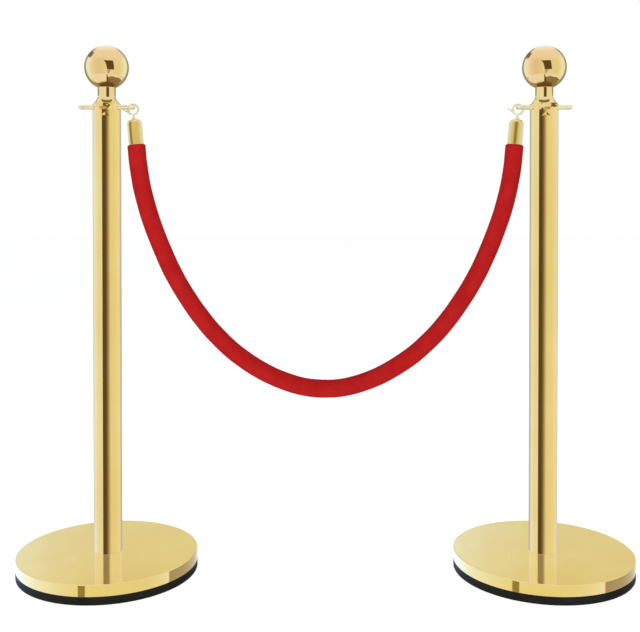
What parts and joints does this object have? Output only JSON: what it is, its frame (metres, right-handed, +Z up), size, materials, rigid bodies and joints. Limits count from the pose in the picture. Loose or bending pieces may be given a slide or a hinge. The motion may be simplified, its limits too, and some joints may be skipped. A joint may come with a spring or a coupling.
{
  "type": "rope barrier stanchion set",
  "caption": "Ball-top metal posts on round weighted bases, joined by a swagged velvet rope with domed caps and spring-gated snap hooks.",
  "frame": {"origin": "on the floor, midway between the two posts", "axes": "+X along the line of posts, +Y away from the front view, +Z up"},
  "size_m": [1.098, 0.318, 0.9367],
  "materials": {
    "polished_gold": "mirror polished",
    "loop_gold": "polished rod",
    "hook_gold": "tumbled and plated",
    "bright_steel": "zinc plated",
    "cast_iron": "rough cast",
    "black_rubber": "moulded matte",
    "red_velvet": "cut pile velvet",
    "cotton_core": "packed cotton",
    "plug_wood": "turned, unfinished"
  },
  "bodies": {
    "posts": {"left_floor_ring": "black_rubber", "left_base_weight": "cast_iron", "left_base_cover": "polished_gold", "left_base_washers": "bright_steel", "left_base_bolt": "bright_steel", "left_foot_plug": "bright_steel", "left_post_tube": "polished_gold", "left_top_plug": "bright_steel", "left_neck_collar": "polished_gold", "left_ball_stud": "bright_steel", "left_ball_insert": "bright_steel", "left_ball": "polished_gold", "left_loop_front": "loop_gold", "left_loop_back": "loop_gold", "left_loop_inner": "loop_gold", "left_loop_outer": "loop_gold", "right_floor_ring": "black_rubber", "right_base_weight": "cast_iron", "right_base_cover": "polished_gold", "right_base_washers": "bright_steel", "right_base_bolt": "bright_steel", "right_foot_plug": "bright_steel", "right_post_tube": "polished_gold", "right_top_plug": "bright_steel", "right_neck_collar": "polished_gold", "right_ball_stud": "bright_steel", "right_ball_insert": "bright_steel", "right_ball": "polished_gold", "right_loop_front": "loop_gold", "right_loop_back": "loop_gold", "right_loop_inner": "loop_gold", "right_loop_outer": "loop_gold"},
    "rope": {"velvet_sleeve": "red_velvet", "rope_core": "cotton_core", "left_end_cap": "polished_gold", "left_core_plug": "plug_wood", "left_cap_screws": "hook_gold", "left_swivel_washer": "bright_steel", "right_end_cap": "polished_gold", "right_core_plug": "plug_wood", "right_cap_screws": "hook_gold", "right_swivel_washer": "bright_steel"},
    "left_hook": {"left_hook": "hook_gold", "left_gate_pin": "bright_steel", "left_gate_spring": "bright_steel"},
    "right_hook": {"right_hook": "hook_gold", "right_gate_pin": "bright_steel", "right_gate_spring": "bright_steel"},
    "left_gate": {"left_gate": "hook_gold"},
    "right_gate": {"right_gate": "hook_gold"}
  },
  "joints": [
    {"name": "rope_swing", "type": "hinge", "parent": "posts", "child": "rope", "pos_m": [0, 0, 0.83228], "axis": [1, 0, 0], "range_deg": [-25, 25]},
    {"name": "left_swivel", "type": "hinge", "parent": "rope", "child": "left_hook", "pos_m": [-0.34325, 0, 0.827], "axis": [-0.0872, 0, 0.9962], "range_deg": [-15, 15]},
    {"name": "right_swivel", "type": "hinge", "parent": "rope", "child": "right_hook", "pos_m": [0.34325, 0, 0.827], "axis": [-0.0872, 0, -0.9962], "range_deg": [-25, 25]},
    {"name": "left_gate_hinge", "type": "hinge", "parent": "left_hook", "child": "left_gate", "pos_m": [-0.35156, 0, 0.81997], "axis": [0, -1, 0], "range_deg": [0, 45], "stiffness_Nm_per_rad": 0.01, "springref_deg": -28.65},
    {"name": "right_gate_hinge", "type": "hinge", "parent": "right_hook", "child": "right_gate", "pos_m": [0.33385, 0, 0.82152], "axis": [0, -1, 0], "range_deg": [0, 45], "stiffness_Nm_per_rad": 0.01, "springref_deg": -28.65}
  ]
}
